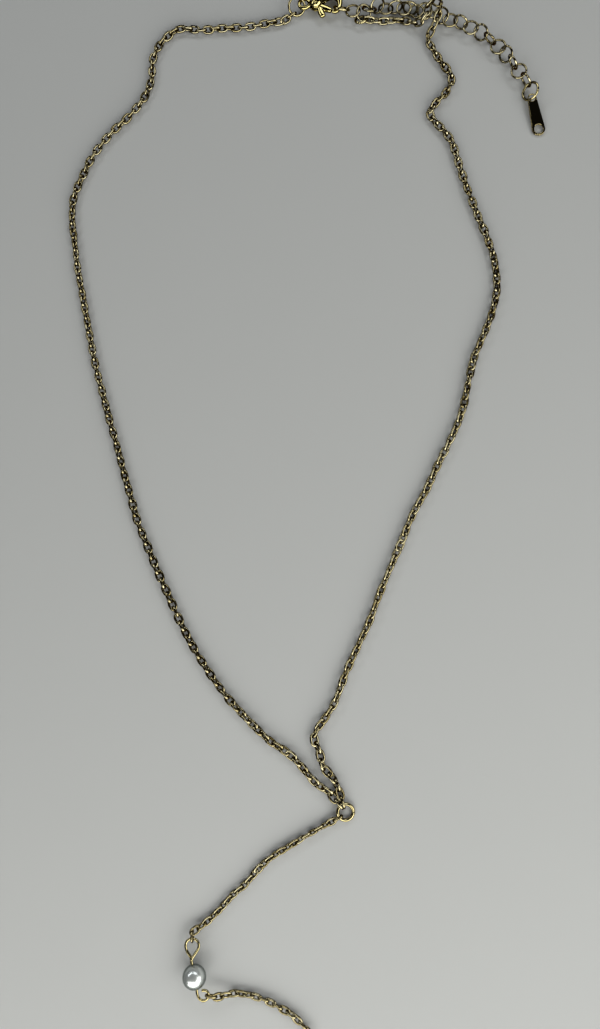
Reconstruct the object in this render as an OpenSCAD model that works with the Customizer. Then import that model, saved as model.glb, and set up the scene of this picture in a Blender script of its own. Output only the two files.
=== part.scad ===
// Long chain necklace: a fine cable chain laid out flat in a Y, with its lobster clasp
// hooked into the first ring of an extender chain at the top and a drop chain with a
// pearl bead at the bottom. Lengths are millimetres, Z is up and the floor is Z = 0.
// The four fine chains and the extender are tubes of the chain's outside width.

/* [Chains] */
// Outside width of the main chain
chain_d = 2; // [1.6:0.1:2.2]
// Outside width of the finer upper drop chain
drop_upper_d = 1.6; // [1.3:0.1:1.9]
// Outside width of the lower drop chain
drop_lower_d = 1.7; // [1.4:0.1:2]
// Outside width of the extender chain
extender_d = 2.8; // [2.4:0.1:3.2]

/* [Rings] */
// Outside diameter of the ring where the three chains meet
y_ring_d = 4; // [3.6:0.1:4.6]
// Wire of the ring where the three chains meet
y_ring_wire = 0.7; // [0.5:0.05:0.9]
// Outside diameter of the jump ring on the clasp
clasp_ring_d = 4.5; // [4:0.1:5]
// Outside diameter of the first extender ring, which the clasp holds
first_ring_d = 4.3; // [4:0.1:4.6]
// Outside diameter of the small ring that joins the chain to the extender
joining_ring_d = 3.4; // [3:0.1:4]
// Outside diameter of the ring at the extender's free end
end_ring_d = 4.5; // [4:0.1:5]
// Wire of the jump rings
ring_wire = 0.55; // [0.4:0.05:0.7]

/* [Tag] */
// Length from the small hole to the large hole
tag_pitch = 7.54; // [6:0.02:9]
// Width at the ring end
tag_top_w = 2.1; // [1.9:0.1:2.6]
// Width at the round free end
tag_end_w = 3.2; // [2.8:0.1:4]
// Diameter of the large hole
tag_hole_d = 2.1; // [1.6:0.1:2.4]
// Diameter of the small hole that the ring passes through
tag_eye_d = 1.5; // [1.4:0.1:1.6]
// Sheet thickness
tag_t = 0.45; // [0.3:0.05:0.6]

/* [Pearl] */
// Diameter of the bead
pearl_d = 5; // [4:0.1:6]
// Diameter of the drilled hole
pearl_hole_d = 0.8; // [0.7:0.05:1]
// Wire of the pin through the bead
pin_wire = 0.5; // [0.4:0.05:0.6]

/* [Clasp] */
// Thickness of the clasp's body at its pivot
clasp_t = 3; // [2.6:0.1:3.2]
// Thickness of the lever
lever_t = 1.1; // [0.9:0.1:1.2]
// Width of the slot that the lever turns in
slot_t = 1.3; // [1.2:0.1:1.5]
// Diameter of the pivot pin
pivot_d = 0.66; // [0.5:0.02:0.8]

/* [Hidden] */

gold = [0.80, 0.66, 0.38];
pearl_grey = [0.82, 0.84, 0.83];

// Routes, as x and y of the chain's middle in the order it runs.
// A third number is the middle's height, given only where the chain leaves the floor.
left_route = [[-2.5, 114.2, 1], [-4.5, 113.6], [-8, 113.2], [-14, 112.5], [-20, 112.5], [-26, 112.5],
    [-30.5, 113], [-33.5, 111.5], [-36, 108.5], [-37.5, 104.5], [-37.5, 99.5],
    [-39.5, 94], [-43.5, 89], [-47.5, 85], [-51.5, 79.5], [-54, 74], [-56, 68],
    [-56, 62], [-55, 56], [-54, 50], [-52.5, 43.5], [-51, 37], [-49.5, 30.5],
    [-48, 24.5], [-46, 18], [-44, 11.5], [-42, 5.5], [-40, -1], [-38, -7],
    [-36, -13], [-33.5, -18.5], [-31, -24], [-28, -30], [-25, -36], [-21.5, -42],
    [-18, -47], [-14, -52], [-9.5, -56.5], [-4.5, -61], [0, -64], [3, -66.8],
    [6, -69.3], [8.2, -71.6], [9.8, -73.8]];
right_route = [[11.8, -72.8], [10.5, -69.5], [8, -66.5], [6.5, -63], [5.4, -60.3],
    [6, -58.5], [7.4, -56.5], [9.8, -52.5], [12.5, -45.5], [15, -40], [17.5, -34.5], [19.5, -29],
    [22, -23], [24.5, -17], [27, -11], [30, -5.5], [32.5, 0], [35.5, 6], [38, 12],
    [39.5, 18.5], [41, 25], [43.5, 31], [45.5, 36.5], [46.5, 42], [46, 48.5],
    [44.5, 54], [42.5, 59.5], [40.5, 65.5], [38.5, 72], [36.8, 78.3], [34.9, 81.8],
    [32.7, 84.3], [31.8, 86.8], [33.2, 89.3], [35.5, 91.8], [36.8, 94.7], [36.2, 97],
    [34.6, 99.4], [32.7, 102.9], [31.3, 106.2], [32, 108.3, 1.8], [33, 109.7, 3.3],
    [33.7, 111.2, 4.1], [33.8, 112.5, 4.2], [32.7, 113.6, 4.2], [31.6, 112.6, 4.2],
    [31.2, 111.2, 3.9], [30, 110.1, 2.5], [28.2, 110.6, 1.3], [25.5, 111.5], [22.5, 111.9], [19.5, 112.1], [17.1, 112.3]];
drop_upper_route = [[10.2, -76.9], [6.9, -79], [1, -82.5], [-3.3, -85.2], [-6.2, -87.8],
    [-9, -91], [-11.8, -93.5], [-14.6, -96.6], [-17.4, -99.2], [-19.7, -101.3, 1.4]];
drop_lower_route = [[-15.1, -112.8, 2.6], [-13.1, -112.7, 1.6], [-10.5, -112.7],
    [-8, -112.9], [-5.6, -113.4], [-2.8, -114.3], [-0.9, -115.2], [1.2, -116.1],
    [2.7, -117.3], [4.2, -118.6], [5, -119.5]];
extender_route = [[12.9, 115.2, 1.6], [15, 116], [18.5, 115.8], [22, 115.2], [25.5, 114.8],
    [29, 114.1], [33, 112.1], [38.5, 110.1], [43, 108], [47, 104], [50.5, 99.3],
    [54, 92.9]];

// Where the rings lie: middle, tilt about the length of the ring, and turn about Z.
y_ring_at = [12.3, -75.5, 0.66];
clasp_ring_at = [-1, 116.8, 1.6];
joining_ring_at = [15, 112.5, 1];
end_ring_at = [55.2, 90.4, 1.6];

// The bead's middle, the pin's heading on the floor plan and its slope.
pearl_at = [-19.1, -109.4, pearl_d / 2];
pin_heading = -75;
pin_slope = -6;
// The pin's bent wire: distance along the pin from the bead's middle, and sideways.
pin_route = [[-3.1, 0.72], [-3.6, 1.15], [-4.4, 2], [-5.3, 2.3], [-6.3, 2],
    [-7, 1], [-6.6, -0.1], [-5.5, -0.6], [-4.3, -0.45], [-3.4, -0.05], [-2.6, 0],
    [0, 0], [2.7, 0], [3.5, 0], [4.3, 0.3], [4.75, 1], [4.65, 1.7], [4, 2.3],
    [3.25, 2.2], [2.85, 1.7], [2.8, 1.1]];

// The clasp's own frame: its middle is the eyelet's middle, and X runs to the nose.
clasp_at = [0.9, 117.4, 1.6];
clasp_turn = -17;
eyelet_r = 1.3;
eyelet_wire = 0.75;
pivot = [2.9, 0.1];
// Stations of the clasp's body: x, y, half width in the plan and half thickness.
body_route = [[1.35, 0, 0.6, 0.6], [2, 0.15, 1.05, 1.2], [2.9, 0.5, 1.4, 1.5],
    [3.5, 1.5, 1.25, 1.5], [4.3, 2.8, 1.05, 1.35], [5.5, 3.7, 0.95, 1.15],
    [7, 3.8, 0.85, 1], [8.2, 2.9, 0.68, 0.7], [8.7, 1.6, 0.54, 0.52],
    [8.7, 0.5, 0.52, 0.48], [8.35, -0.2, 0.5, 0.44], [7.4, -0.45, 0.44, 0.42]];
arm_route = [[2.9, 0.1, 0.85, 0.5], [4.2, 0.1, 0.8, 0.54], [5.6, -0.1, 0.72, 0.54],
    [6.7, -0.3, 0.6, 0.5], [7.15, -0.38, 0.48, 0.45]];
tab_route = [[4, -0.3, 0.55, 0.5], [4.8, -1.5, 0.52, 0.5], [5.7, -2.6, 0.45, 0.48]];

// The lower middle height of a tube with eight flat sides that lies on the floor
function lying(d) = d / 2 * cos(22.5);
function unit(v) = v / norm(v);
// Route points with their heights filled in
function raised(p, d) =
    [for (q = p) [q.x, q.y, len(q) > 2 ? q.z : lying(d)]];
// Direction of the route at point i
function along(p, i) =
    i == 0 ? unit(p[1] - p[0])
    : i == len(p) - 1 ? unit(p[i] - p[i - 1])
    : unit(unit(p[i + 1] - p[i]) + unit(p[i] - p[i - 1]));
// One section of a sweep: n corners around point q, with the half width and half height
function section(q, t, w, h, n) =
    let (side = unit(cross([0, 0, 1], t)), top = cross(t, side))
    [for (k = [0 : n - 1])
        q + side * w * cos(360 / n * (k + 0.5)) + top * h * sin(360 / n * (k + 0.5))];
// Stations between the given ones, by a smooth curve through all of them
function between(a, b, c, d, f) =
    0.5 * (2 * b + (c - a) * f + (2 * a - 5 * b + 4 * c - d) * f * f
        + (3 * b - a - 3 * c + d) * f * f * f);
function smooth(p, k) =
    let (e = len(p) - 1)
    [for (i = [0 : e - 1], j = [0 : k - 1])
        between(p[max(i - 1, 0)], p[i], p[i + 1], p[min(i + 2, e)], j / k),
        p[e]];

// A closed sweep through points p with lists of half widths and half heights
module sweep(p, w, h, n) {
    last = (len(p) - 1) * n;
    corners = [for (i = [0 : len(p) - 1], c = section(p[i], along(p, i), w[i], h[i], n)) c];
    start = [[for (k = [0 : n - 1]) k]];
    end = [[for (k = [0 : n - 1]) last + n - 1 - k]];
    sides = [for (i = [0 : len(p) - 2], k = [0 : n - 1], half = [0, 1])
        let (a = i * n + k, b = i * n + (k + 1) % n)
        half == 0 ? [a, a + n, b + n] : [a, b + n, b]];
    polyhedron(points = corners, faces = concat(start, end, sides), convexity = 8);
}

module chain_tube(route, d) {
    p = raised(route, d);
    r = [for (q = p) d / 2];
    sweep(p, r, r, 8);
}

// A sweep in the clasp's own plane from rows of x, y, half width and half thickness
module clasp_sweep(rows, k) {
    s = smooth(rows, k);
    p = [for (q = s) [q[0], q[1], 0]];
    sweep(p, [for (q = s) q[2]], [for (q = s) q[3]], 10);
}

module ring(outer, wire) {
    rotate_extrude($fn = 48)
        translate([outer / 2 - wire / 2, 0])
            circle(d = wire, $fn = 16);
}

module place_clasp() {
    translate(clasp_at)
        rotate([0, 0, clasp_turn])
            children();
}

module place_pearl() {
    translate(pearl_at)
        rotate([0, pin_slope, pin_heading])
            children();
}

module chain_left() {
    color(gold)
        chain_tube(left_route, chain_d);
}

module chain_right() {
    color(gold)
        chain_tube(right_route, chain_d);
}

module drop_chain_upper() {
    color(gold)
        chain_tube(drop_upper_route, drop_upper_d);
}

module drop_chain_lower() {
    color(gold)
        chain_tube(drop_lower_route, drop_lower_d);
}

module extender_chain() {
    color(gold)
        chain_tube(extender_route, extender_d);
}

module y_ring() {
    color(gold)
        translate(y_ring_at)
            rotate([0, 0, 160])
                rotate([0, -10.5, 0])
                    ring(y_ring_d, y_ring_wire);
}

module clasp_ring() {
    color(gold)
        translate(clasp_ring_at)
            rotate([0, 0, 17.5])
                rotate([40, 0, 0])
                    ring(clasp_ring_d, ring_wire);
}

module clasp_body() {
    color(gold)
        place_clasp()
            difference() {
                union() {
                    ring(2 * eyelet_r + eyelet_wire, eyelet_wire);
                    clasp_sweep(body_route, 2);
                }
                translate([pivot.x, pivot.y, 0])
                    linear_extrude(height = slot_t, center = true)
                        polygon([[-1.15, -0.6], [-1.15, 0.6], [-0.6, 1.15],
                            [0, 1.45], [3.6, 2.6], [3.6, -3], [-0.6, -3]]);
                translate([pivot.x, pivot.y, 0])
                    cylinder(h = 2 * clasp_t, d = pivot_d + 0.06, center = true, $fn = 24);
            }
}

module clasp_lever() {
    color(gold)
        place_clasp()
            difference() {
                union() {
                    translate([pivot.x, pivot.y, 0])
                        cylinder(h = lever_t, r = 0.95, center = true, $fn = 32);
                    clasp_sweep(arm_route, 2);
                    clasp_sweep(tab_route, 2);
                }
                translate([pivot.x, pivot.y, 0])
                    cylinder(h = 2 * lever_t, d = pivot_d + 0.14, center = true, $fn = 24);
            }
}

module clasp_pin() {
    color(gold)
        place_clasp()
            translate([pivot.x, pivot.y, 0])
                cylinder(h = clasp_t - 0.3, d = pivot_d, center = true, $fn = 24);
}

module extender_first_ring() {
    color(gold)
        place_clasp()
            translate([9.5, 0.75, 0.08])
                rotate([-45, 0, 0])
                    ring(first_ring_d, ring_wire);
}

module joining_ring() {
    color(gold)
        translate(joining_ring_at)
            rotate([-20, 0, 0])
                ring(joining_ring_d, ring_wire);
}

module end_ring() {
    color(gold)
        translate(end_ring_at)
            rotate([0, 0, -81])
                rotate([42, 0, 0])
                    ring(end_ring_d, ring_wire);
}

// The tag's small hole sits on the end ring's wire, and the free end lies on the floor.
module tag() {
    lean = asin((tag_end_w / 2 - tag_top_w / 2) / tag_pitch);
    r1 = tag_top_w / 2;
    r2 = tag_end_w / 2;
    reach = (end_ring_d - ring_wire) / 2;
    color(gold)
        translate(end_ring_at)
            rotate([0, 0, -81])
                translate([reach - 0.12, 0, 0])
                    rotate([0, 8.5, 3])
                        difference() {
                            union() {
                                cylinder(h = tag_t, r = r1, center = true, $fn = 48);
                                translate([tag_pitch, 0, 0])
                                    cylinder(h = tag_t, r = r2, center = true, $fn = 64);
                                linear_extrude(height = tag_t, center = true)
                                    polygon([[-r1 * sin(lean), r1 * cos(lean)],
                                        [-r1 * sin(lean), -r1 * cos(lean)],
                                        [tag_pitch - r2 * sin(lean), -r2 * cos(lean)],
                                        [tag_pitch - r2 * sin(lean), r2 * cos(lean)]]);
                            }
                            cylinder(h = 3 * tag_t, d = tag_eye_d, center = true, $fn = 32);
                            translate([tag_pitch, 0, 0])
                                cylinder(h = 3 * tag_t, d = tag_hole_d, center = true,
                                    $fn = 48);
                        }
}

module pearl() {
    color(pearl_grey)
        place_pearl()
            difference() {
                sphere(d = pearl_d, $fn = 64);
                rotate([0, 90, 0])
                    cylinder(h = 2 * pearl_d, d = pearl_hole_d, center = true, $fn = 24);
            }
}

// The wire bends in one plane: a large loop, the straight through the bead, a small loop.
module pearl_pin() {
    p = [for (q = smooth(pin_route, 2)) [q.x, q.y, 0]];
    r = [for (q = p) pin_wire / 2];
    color(gold)
        place_pearl()
            sweep(p, r, r, 8);
}

chain_left();
chain_right();
drop_chain_upper();
drop_chain_lower();
extender_chain();
y_ring();
clasp_ring();
clasp_body();
clasp_lever();
clasp_pin();
extender_first_ring();
joining_ring();
end_ring();
tag();
pearl();
pearl_pin();
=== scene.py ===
"""Looks of a long chain necklace that lies on a pale surface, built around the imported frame.

Sizes are in millimetres until a mesh is made, and the axes are the frame's: X to the right,
Y from the free end of the drop chain to the clasp, Z up off the surface.
"""

import logging
import math
from dataclasses import dataclass, field
from enum import Enum
from typing import ClassVar, Sequence

import bpy
import numpy as np
from mathutils import Matrix, Vector
from mathutils.geometry import tessellate_polygon


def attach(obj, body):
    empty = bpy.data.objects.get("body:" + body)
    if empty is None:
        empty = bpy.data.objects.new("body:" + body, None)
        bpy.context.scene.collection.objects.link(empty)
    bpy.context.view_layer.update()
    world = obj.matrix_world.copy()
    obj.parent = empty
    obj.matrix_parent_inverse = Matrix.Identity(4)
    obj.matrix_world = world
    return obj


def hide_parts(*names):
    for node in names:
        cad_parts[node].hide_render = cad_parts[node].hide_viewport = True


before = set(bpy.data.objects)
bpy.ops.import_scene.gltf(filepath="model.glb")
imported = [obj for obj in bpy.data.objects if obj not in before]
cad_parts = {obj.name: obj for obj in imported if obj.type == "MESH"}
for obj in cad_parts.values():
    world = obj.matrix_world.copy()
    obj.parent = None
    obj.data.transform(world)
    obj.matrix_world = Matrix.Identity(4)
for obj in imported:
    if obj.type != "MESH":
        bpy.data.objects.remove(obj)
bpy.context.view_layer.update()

LOG = logging.getLogger("necklace")
MM = 0.001
FLOOR_GAP = 0.004
VIEWPOINT = (19.646, -37.263, 179.551)
Colour = tuple[float, float, float]
Station = tuple[float, ...]
Socket = bpy.types.NodeSocket


class Body(Enum):
    """The CAD bodies that a piece can ride on."""

    NECKLACE = "necklace"
    LEVER = "lever"


class Slot(Enum):
    """The record's material slots."""

    CHAIN = "chain_metal"
    RING = "ring_metal"
    CLASP = "clasp_metal"
    TAG = "tag_metal"
    PEARL = "pearl"


class End(Enum):
    """How an open wire or cast arm ends."""

    CUT = "cut"
    ROUND = "round"

    @property
    def steps(self) -> np.ndarray:
        """The last sections of a wire.

        Returns:
            For each, how far it stands out and its share of the full section.
        """
        if self is End.CUT:
            return np.array([(0.0, 0.99), (0.12, 0.88)])
        angle = np.radians([22, 45, 66, 82])
        return np.column_stack([np.sin(angle), np.cos(angle)])

    @property
    def tip(self) -> float:
        """How far the very tip stands out from the last section, as a share of its height."""
        return 0.02 if self is End.CUT else 0.08


# Shapes


@dataclass
class Shape:
    """The surface of a piece, in millimetres, with the grime and painted shade, and the tone, of its corners.
    """

    verts: np.ndarray
    quads: np.ndarray
    tris: np.ndarray = field(default_factory=lambda: np.zeros((0, 3), int))
    grime_and_shade: np.ndarray | float = 0.0
    tone: np.ndarray | float = 0.0

    def placed(self, matrix: np.ndarray) -> "Shape":
        """Returns the shape moved by a 4 by 4 matrix."""
        return Shape(carried(self.verts, matrix), self.quads, self.tris, self.grime_and_shade, self.tone)

    def mesh(self, name: str) -> bpy.types.Mesh:
        """Makes the Blender mesh, in metres.

        Args:
            name: the mesh's name.

        Returns:
            The mesh, smooth all over, with its grime and painted shade, and its tone, as attributes.
        """
        mesh = bpy.data.meshes.new(name)
        quads, tris = len(self.quads), len(self.tris)
        corners = np.concatenate([self.quads.ravel(), self.tris.ravel()])
        starts = np.concatenate([np.arange(quads) * 4, quads * 4 + np.arange(tris) * 3])
        mesh.vertices.add(len(self.verts))
        mesh.vertices.foreach_set("co", (self.verts * MM).astype(np.float32).ravel())
        mesh.loops.add(len(corners))
        mesh.loops.foreach_set("vertex_index", corners.astype(np.int32))
        mesh.polygons.add(quads + tris)
        mesh.polygons.foreach_set("loop_start", starts.astype(np.int32))
        mesh.update(calc_edges=True)
        mesh.validate()
        mesh.polygons.foreach_set("use_smooth", np.ones(len(mesh.polygons), bool))
        for label, values in (("grime_and_shade", self.grime_and_shade), ("tone", self.tone)):
            layer = mesh.attributes.new(label, "FLOAT", "POINT")
            layer.data.foreach_set("value", np.broadcast_to(values, len(self.verts)).astype(np.float32))
        return mesh


def joined(wires: Sequence[Shape]) -> Shape:
    """Joins swept wires into one shape.

    Args:
        wires: the wires, with a number for each corner as their grime and painted shade, and their tone.

    Returns:
        One shape with all their faces.
    """
    starts = np.cumsum([0] + [len(w.verts) for w in wires[:-1]])
    return Shape(
        np.concatenate([w.verts for w in wires]),
        np.concatenate([w.quads + a for w, a in zip(wires, starts)]),
        np.concatenate([w.tris + a for w, a in zip(wires, starts)]),
        np.concatenate([w.grime_and_shade for w in wires]),
        np.concatenate([w.tone for w in wires]),
    )


def carried(points: np.ndarray, matrix: np.ndarray) -> np.ndarray:
    """Returns places moved by a 4 by 4 matrix."""
    return points @ matrix[:3, :3].T + matrix[:3, 3]


def unit(v: np.ndarray) -> np.ndarray:
    """Returns vectors scaled to length 1."""
    return v / np.linalg.norm(v, axis=-1, keepdims=True)


def turn(x: float = 0, y: float = 0, z: float = 0) -> np.ndarray:
    """Returns the matrix that turns about X, then Y, then Z, by degrees."""
    parts = [Matrix.Rotation(math.radians(a), 4, n) for a, n in ((z, "Z"), (y, "Y"), (x, "X"))]
    return np.array(parts[0] @ parts[1] @ parts[2])


def move(x: float, y: float, z: float) -> np.ndarray:
    """Returns the matrix that moves by x, y and z."""
    return np.array(Matrix.Translation((x, y, z)))


def around(count: int) -> np.ndarray:
    """Returns angles evenly round a full turn."""
    return np.arange(count) / count * 2 * math.pi


def distances(points: np.ndarray) -> np.ndarray:
    """Returns how far along a line of places each of them is."""
    return np.concatenate([[0], np.cumsum(np.linalg.norm(np.diff(points[:, :3], axis=0), axis=1))])


def rows_at(points: np.ndarray, run: np.ndarray, at: np.ndarray) -> np.ndarray:
    """Returns the rows of a line of places at other distances along it."""
    return np.stack([np.interp(at, run, column) for column in points.T], 1)


def smooth(points: Sequence[Station], step: float) -> np.ndarray:
    """Runs a smooth curve through points.

    Args:
        points: rows of numbers, the first three of which are a place.
        step: the distance between the places that come back.

    Returns:
        Rows at even distances along the curve.
    """
    p = np.array(points, float)
    t = distances(p)
    slope = np.empty_like(p)
    slope[1:-1] = (p[2:] - p[:-2]) / (t[2:] - t[:-2])[:, None]
    slope[0] = (p[1] - p[0]) / (t[1] - t[0])
    slope[-1] = (p[-1] - p[-2]) / (t[-1] - t[-2])
    at = np.linspace(0, t[-1], max(2, int(t[-1] / step * 4)))
    i = np.clip(np.searchsorted(t, at, "right") - 1, 0, len(t) - 2)
    h = (t[i + 1] - t[i])[:, None]
    f = (at - t[i])[:, None] / h
    fine = (
        p[i] * (2 * f**3 - 3 * f**2 + 1)
        + slope[i] * h * (f**3 - 2 * f**2 + f)
        + p[i + 1] * (3 * f**2 - 2 * f**3)
        + slope[i + 1] * h * (f**3 - f**2)
    )
    run = distances(fine)
    return rows_at(fine, run, np.linspace(0, run[-1], max(2, round(run[-1] / step) + 1)))


def grid_faces(rows: int, columns: int, closed: bool) -> np.ndarray:
    """Joins rows of corners by faces, each row being a ring.

    Args:
        rows: how many rows there are.
        columns: corners in a row.
        closed: whether the last row is joined to the first.

    Returns:
        Four corners for each face.
    """
    i, k = np.arange(rows if closed else rows - 1)[:, None], np.arange(columns)[None]
    here, there, after = i * columns, (i + 1) % rows * columns, (k + 1) % columns
    return np.stack([here + k, here + after, there + after, there + k], -1).reshape(-1, 4)


def sweep(
    path: np.ndarray,
    sides: int,
    wide: np.ndarray | float,
    high: np.ndarray | float | None = None,
    closed: bool = False,
    up: Sequence[float] = (0, 0, 1),
    ends: End = End.CUT,
    square: float = 2.0,
) -> Shape:
    """Sweeps an oval section along a path.

    Args:
        path: places along the middle.
        sides: corners in a section.
        wide: half the section's width, across the path in its plane.
        high: half the section's height, along up; as wide unless given.
        closed: whether the path runs back to its start.
        up: a direction that the path never takes.
        ends: the form of an open path's ends.
        square: 2 for an oval section, more for a squarer one.

    Returns:
        The swept shape.
    """
    wide = np.broadcast_to(wide, len(path))
    high = wide if high is None else np.broadcast_to(high, len(path))
    if closed:
        along = unit(np.roll(path, -1, 0) - np.roll(path, 1, 0))
    else:
        along = unit(np.gradient(path, axis=0))
        out, share = ends.steps.T
        for k, sign in ((0, -1), (-1, 1)):
            reach = sign * min(wide[k], high[k]) * out[:, None]
            old = path, along, wide, high
            new = path[k] + along[k] * reach, along[k] + 0 * reach, wide[k] * share, high[k] * share
            path, along, wide, high = (
                np.concatenate([o, n] if k else [n[::-1], o]) for o, n in zip(old, new)
            )
    side = unit(np.cross(np.asarray(up, float), along))
    top = np.cross(along, side)
    c, s = np.cos(around(sides)), np.sin(around(sides))
    bulge = 1 / (np.abs(c) ** square + np.abs(s) ** square) ** (1 / square)
    width = side[:, None] * (wide[:, None] * c * bulge)[..., None]
    height = top[:, None] * (high[:, None] * s * bulge)[..., None]
    verts = (path[:, None] + width + height).reshape(-1, 3)
    quads = grid_faces(len(path), sides, closed)
    if closed:
        return Shape(verts, quads)
    tips = [path[k] + sign * along[k] * high[k] * ends.tip for k, sign in ((0, -1), (-1, 1))]
    k, first, last = np.arange(sides), len(verts), (len(path) - 1) * sides
    after = (k + 1) % sides
    fans = (first + 0 * k, after, k), (first + 1 + 0 * k, last + k, last + after)
    return Shape(np.concatenate([verts, tips]), quads, np.concatenate([np.stack(f, 1) for f in fans]))


# Finishes


HAIRLINE = 0.00002
EDGE_TINT = (0.55, 0.41, 0.12, 1)


class Tree:
    """A short way to add nodes to a shader tree and join them."""

    def __init__(self, tree: bpy.types.NodeTree) -> None:
        """Keeps the tree that the nodes go in."""
        self.tree = tree

    def fill(self, node: bpy.types.Node, values: dict) -> bpy.types.Node:
        """Fills in a node.

        Args:
            node: the node.
            values: numbers, colours or other nodes' outputs for its inputs, by name or place.

        Returns:
            The same node.
        """
        for key, value in values.items():
            if isinstance(value, Socket):
                self.tree.links.new(value, node.inputs[key])
            else:
                node.inputs[key].default_value = value
        return node

    def add(self, kind: str, values: dict | None = None, **settings) -> bpy.types.Node:
        """Adds a node.

        Args:
            kind: the node's type, without the part that all shader nodes share.
            values: what its inputs are filled with.
            **settings: the node's own options.

        Returns:
            The node.
        """
        node = self.tree.nodes.new("ShaderNode" + kind)
        for key, value in settings.items():
            setattr(node, key, value)
        return self.fill(node, values or {})

    def math(self, operation: str, a: object, b: object, clamp: bool = False) -> Socket:
        """Returns the output of a Math node."""
        return self.add("Math", {0: a, 1: b}, operation=operation, use_clamp=clamp).outputs[0]

    def mix(self, share: object, a: object, b: object) -> Socket:
        """Mixes two colours.

        Args:
            share: how much of the second one there is.
            a: the first colour.
            b: the second colour.

        Returns:
            The mix.
        """
        node = self.add("Mix", data_type="RGBA")
        places = {s.identifier: i for i, s in enumerate(node.inputs)}
        given = {"Factor_Float": share, "A_Color": a, "B_Color": b}
        self.fill(node, {places[key]: value for key, value in given.items()})
        return next(s for s in node.outputs if s.identifier == "Result_Color")

    def place(self) -> Socket:
        """Returns the place on the object."""
        return self.add("TexCoord").outputs["Object"]

    def attribute(self, name: str) -> Socket:
        """Returns a number that the mesh holds for each corner."""
        return self.add("Attribute", attribute_name=name).outputs["Fac"]

    def noise(self, place: Socket, scale: object, detail: float, roughness: float = 0.5) -> Socket:
        """Returns the value of a noise texture."""
        values = {"Vector": place, "Scale": scale, "Detail": detail, "Roughness": roughness}
        return self.add("TexNoise", values).outputs["Fac"]

    def ramp(self, value: Socket, start: float, end: float, kind: str = "LINEAR", **to: object) -> Socket:
        """Returns a value that changes as another runs from start to end.

        Args:
            value: the other value.
            start: where the change starts.
            end: where it ends.
            kind: the form of the change.
            **to: the ends of the result, low and high, when they aren't 0 and 1.

        Returns:
            The new value.
        """
        values = {"Value": value, "From Min": start, "From Max": end}
        values |= {"To Min": to.get("low", 0.0), "To Max": to.get("high", 1.0)}
        return self.add("MapRange", values, interpolation_type=kind).outputs["Result"]

    def aside(self, start: float, end: float, share: float = 1.0) -> Socket:
        """Returns 0 where the surface faces the eye and a share where it turns away: the mask of painted edge
        shade.
        """
        facing = self.add("LayerWeight", {"Blend": 0.5}).outputs["Facing"]
        return self.ramp(facing, start, end, "SMOOTHSTEP", high=share)

    def worn(self, scratches: bpy.types.NodeTree, depth: float, **sockets: object) -> Socket:
        """Returns the normal of a surface with fine scratches.

        Args:
            scratches: the group of the scratches.
            depth: how strongly they show.
            **sockets: what the group's sockets are filled with.

        Returns:
            The normal.
        """
        height = self.add("Group", sockets, node_tree=scratches).outputs["Height"]
        return self.add("Bump", {"Height": height, "Strength": depth, "Distance": HAIRLINE}).outputs["Normal"]


def new_group(name: str, inputs: dict, outputs: dict) -> tuple[Tree, dict[str, Socket], bpy.types.Node]:
    """Starts a shader node group.

    Args:
        name: the group's name.
        inputs: the kinds of its input sockets, by name.
        outputs: the kinds of its output sockets, by name.

    Returns:
        The group's tree, its input sockets, and the node that takes what it puts out.
    """
    group = bpy.data.node_groups.new(name, "ShaderNodeTree")
    for in_out, sockets in (("INPUT", inputs), ("OUTPUT", outputs)):
        for label, kind in sockets.items():
            group.interface.new_socket(label, in_out=in_out, socket_type="NodeSocket" + kind)
    source, target = group.nodes.new("NodeGroupInput"), group.nodes.new("NodeGroupOutput")
    return Tree(group), {s.name: s for s in source.outputs}, target


def plating_tone_group() -> bpy.types.NodeTree:
    """Builds the group that varies plated metal between its bright and its dull tone, and darkens it with
    grime and painted shade.

    Returns:
        A group that puts out the colour and the roughness.
    """
    patch_start, patch_contrast = 0.42, 3.0
    fleck_scale, fleck_dirt_and_shade = 9.0, 0.35
    dull_rough, dirty_rough, fleck_rough = 0.6, 0.5, 0.4
    colours = dict.fromkeys(("Bright", "Dull", "Grime And Shade"), "Color")
    numbers = dict.fromkeys(("Patch Size", "Tarnish", "Smoothest", "Roughest"), "Float")
    outputs = {"Color": "Color", "Roughness": "Float"}
    tree, given, target = new_group("plating_tone", colours | numbers, outputs)
    place = tree.place()
    patches = tree.noise(place, given["Patch Size"], detail=4.0, roughness=0.62)
    flecks = tree.noise(place, tree.math("MULTIPLY", given["Patch Size"], fleck_scale), detail=2.0)
    spread = tree.math("MULTIPLY", tree.math("SUBTRACT", patches, patch_start), patch_contrast, clamp=True)
    spread = tree.math("ADD", spread, tree.attribute("tone"))
    spread = tree.math("MULTIPLY", spread, given["Tarnish"], clamp=True)
    # painted shade: the grime attribute, largest where links and rings touch, darkens the colour towards the
    # near-black grime colour, part dirt and part shade
    dirt_and_shade = tree.math("ADD", flecks, fleck_dirt_and_shade)
    dirt_and_shade = tree.math("MULTIPLY", tree.attribute("grime_and_shade"), dirt_and_shade, clamp=True)
    colour = tree.mix(dirt_and_shade, tree.mix(spread, given["Bright"], given["Dull"]), given["Grime And Shade"])
    dull, dirty = tree.math("MULTIPLY", spread, dull_rough), tree.math("MULTIPLY", dirt_and_shade, dirty_rough)
    grain = tree.math("MULTIPLY", tree.math("SUBTRACT", flecks, 0.5), fleck_rough)
    share = tree.math("ADD", tree.math("ADD", dull, dirty, clamp=True), grain, clamp=True)
    rough = tree.ramp(share, 0.0, 1.0, low=given["Smoothest"], high=given["Roughest"])
    tree.fill(target, {"Color": colour, "Roughness": rough})
    return tree.tree


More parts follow.
